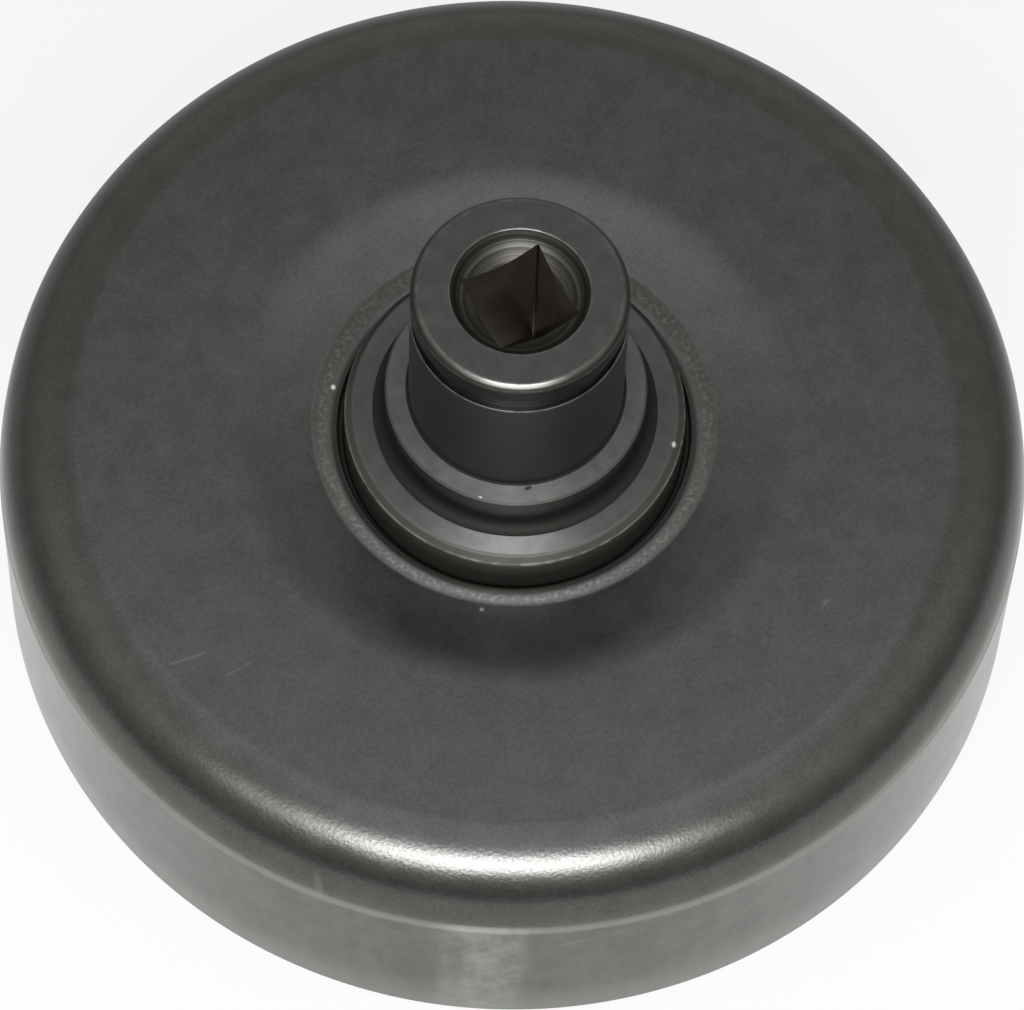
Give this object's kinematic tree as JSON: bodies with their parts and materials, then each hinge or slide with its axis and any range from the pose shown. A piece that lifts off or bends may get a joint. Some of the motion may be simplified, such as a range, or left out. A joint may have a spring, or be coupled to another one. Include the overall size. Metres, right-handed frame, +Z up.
{
  "type": "brush cutter clutch drum",
  "caption": "Pressed steel clutch drum cup with a turned centre hub that has a bearing journal, a retaining-ring groove and a square drive hole.",
  "frame": {"origin": "centre of the open rim, on the surface that the drum stands on", "axes": "+Z up the shaft axis to the hub's nose, +X and +Y square to the flats of the drive hole"},
  "size_m": [0.073, 0.073, 0.0403],
  "materials": {
    "cup_steel": "dark phosphate on drawn sheet, burnished wall",
    "hub_steel": "dark oxide on turned steel, worn bright on the edges"
  },
  "bodies": {
    "root": {"drum_cup": "cup_steel", "hub": "hub_steel"}
  },
  "joints": []
}
